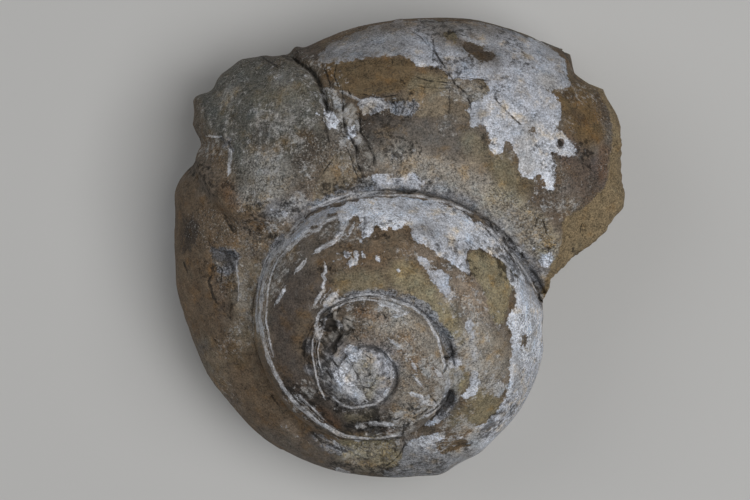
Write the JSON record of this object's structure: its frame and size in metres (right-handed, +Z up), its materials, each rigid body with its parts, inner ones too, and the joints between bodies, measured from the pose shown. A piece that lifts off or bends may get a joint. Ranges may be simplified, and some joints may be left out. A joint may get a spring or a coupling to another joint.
{
  "type": "fossil gastropod",
  "caption": "Stone mould of a large sea snail: low domed spire, swollen last whorl with a broken lip, a cemented lump of grit and thin shell remnants.",
  "frame": {"origin": "centre of the footprint box, on the surface that the stone lies on", "axes": "+Z up, away from that surface; the spire leans towards -Y and a little towards -X; the broken lip is on the +X side"},
  "size_m": [0.107, 0.11, 0.0715],
  "materials": {
    "fossil_stone": "rough tan and grey-brown stone with ochre stains and patches of chalky grey-white shell"
  },
  "bodies": {
    "root": {"fossil_gastropod": "fossil_stone"}
  },
  "joints": []
}
